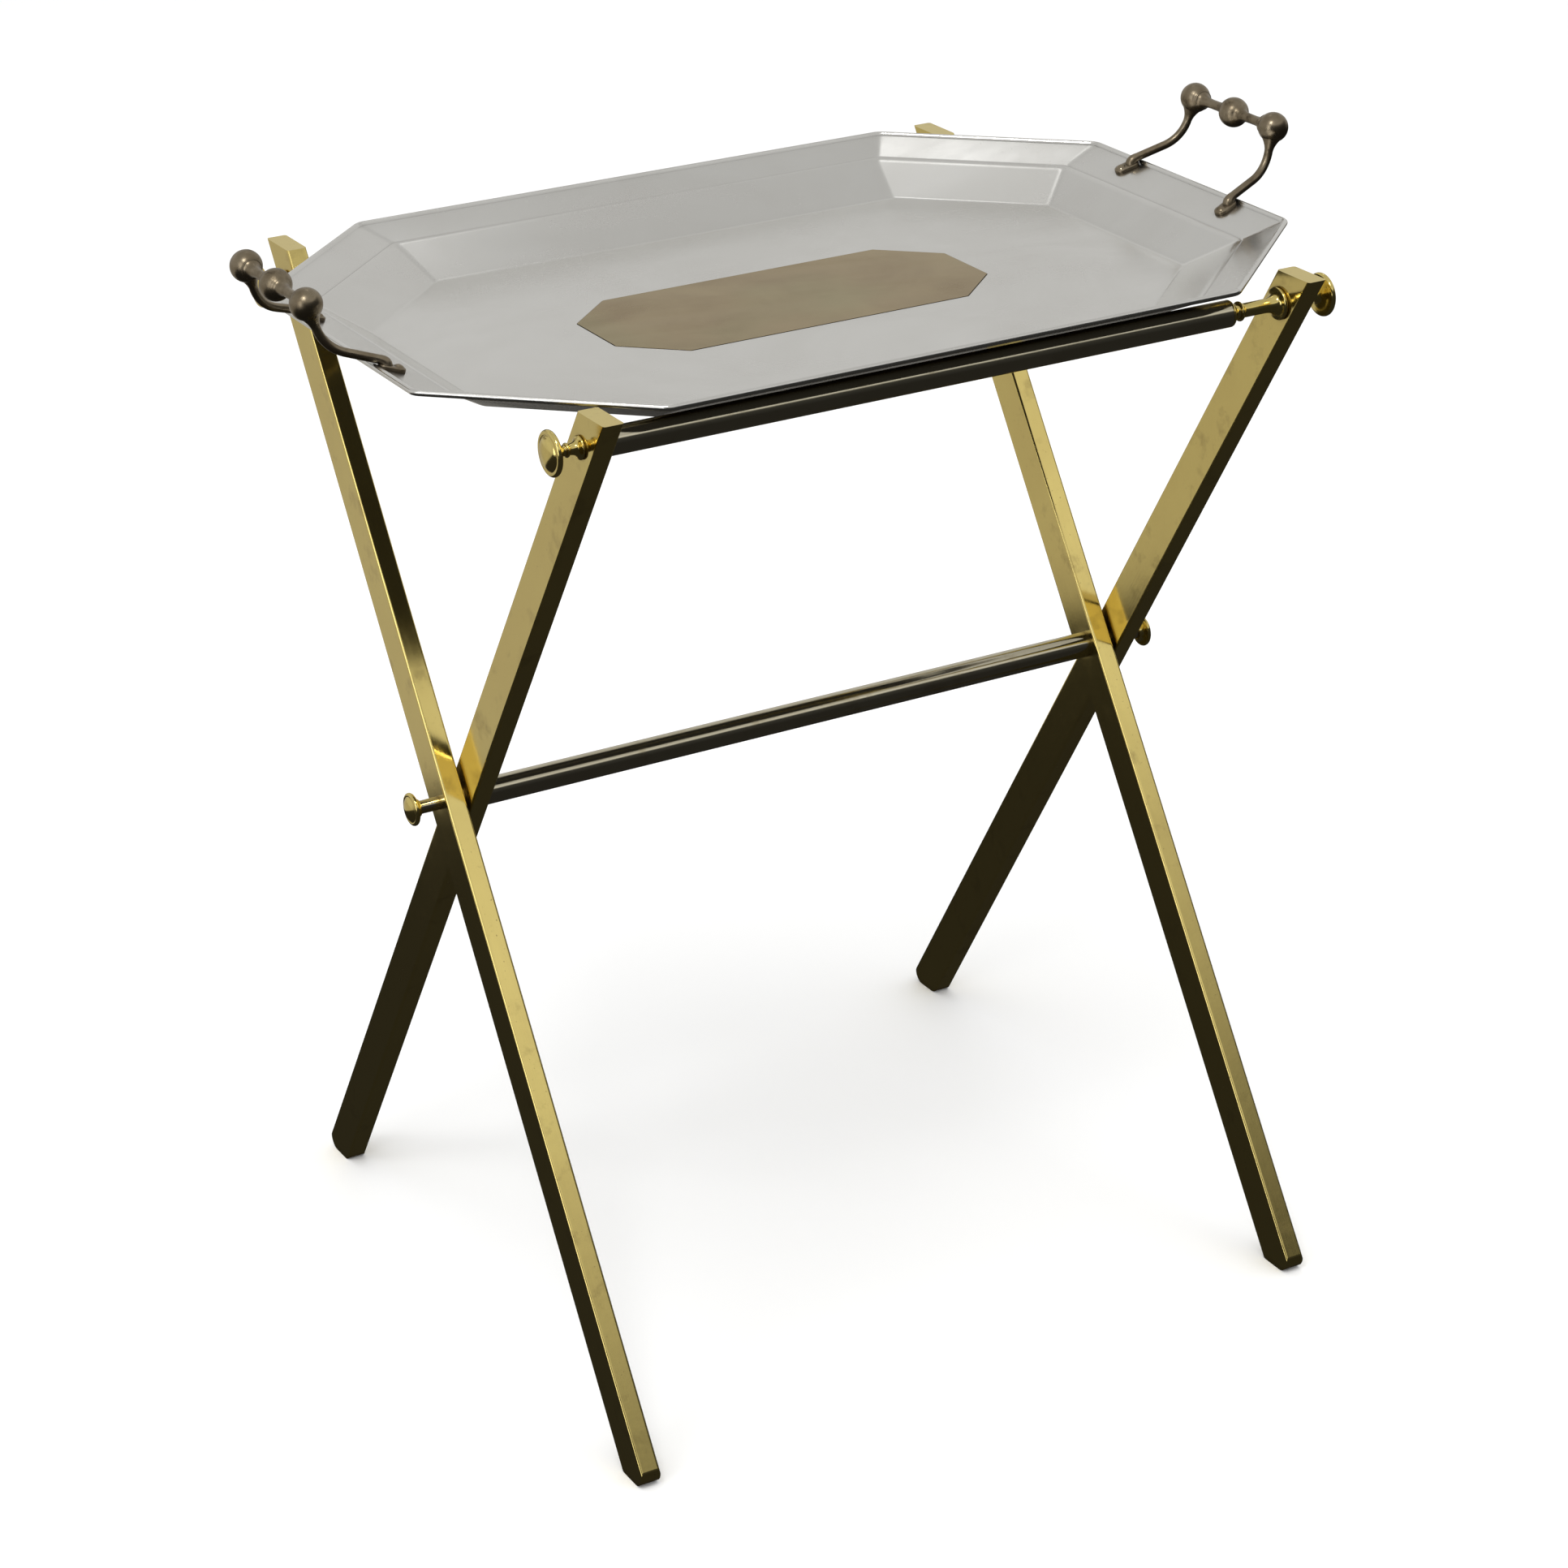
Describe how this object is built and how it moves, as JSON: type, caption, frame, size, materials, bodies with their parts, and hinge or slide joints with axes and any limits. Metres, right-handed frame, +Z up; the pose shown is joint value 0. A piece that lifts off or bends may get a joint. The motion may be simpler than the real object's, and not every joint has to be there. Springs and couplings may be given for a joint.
{
  "type": "folding tray table",
  "caption": "Folding tray table: X-shaped brass tube stand with turned knobs carrying a lift-off silvered octagonal tray with a brass inlay and ball handles.",
  "frame": {"origin": "on the floor, under the middle of the pivot axle", "axes": "+Z up, +X along the axle to the right, front at -Y"},
  "size_m": [0.6586, 0.4634, 0.6838],
  "materials": {
    "leg_brass": "polished, lightly aged",
    "tube_brass": "polished",
    "turned_brass": "polished",
    "inner_brass": "dull",
    "tray_plate": "silver plate, fine scratches",
    "inlay_brass": "satin",
    "handle_bronze": "dark patina"
  },
  "bodies": {
    "rear_frame": {"rear_leg_left": "leg_brass", "rear_leg_right": "leg_brass", "rear_cap_left": "leg_brass", "rear_cap_right": "leg_brass", "rear_foot_left": "leg_brass", "rear_foot_right": "leg_brass", "axle_rod": "tube_brass", "pivot_knob_left": "turned_brass", "pivot_knob_right": "turned_brass", "pivot_washers": "turned_brass", "stretcher_tube": "tube_brass", "stretcher_bush_left": "inner_brass", "stretcher_bush_right": "inner_brass", "rear_rod_tube": "tube_brass", "rear_tie_rod": "inner_brass", "rear_rod_spool": "turned_brass", "rear_rod_collar": "turned_brass", "rear_knob_left": "turned_brass", "rear_knob_right": "turned_brass"},
    "front_frame": {"front_leg_left": "leg_brass", "front_leg_right": "leg_brass", "front_cap_left": "leg_brass", "front_cap_right": "leg_brass", "front_foot_left": "leg_brass", "front_foot_right": "leg_brass", "front_rod_tube": "tube_brass", "front_tie_rod": "inner_brass", "front_rod_spool": "turned_brass", "front_rod_collar": "turned_brass", "front_knob_left": "turned_brass", "front_knob_right": "turned_brass"},
    "tray": {"tray_body": "tray_plate", "inlay_plate": "inlay_brass", "handle_grip_left": "handle_bronze", "handle_grip_right": "handle_bronze", "arm_left_front": "handle_bronze", "arm_left_rear": "handle_bronze", "arm_right_front": "handle_bronze", "arm_right_rear": "handle_bronze", "handle_screws": "handle_bronze", "handle_nuts": "handle_bronze"}
  },
  "joints": [
    {"name": "fold", "type": "hinge", "parent": "rear_frame", "child": "front_frame", "pos_m": [0, 0, 0.34302], "axis": [-1, 0, 0], "range_deg": [0, 61]},
    {"name": "tray_lift", "type": "slide", "parent": "rear_frame", "child": "tray", "axis": [0, 0, 1], "range_m": [0, 0.48]}
  ],
  "couplings": [
    {"joint": "tray_lift", "follows": "fold", "m_per_rad": 0.45}
  ]
}
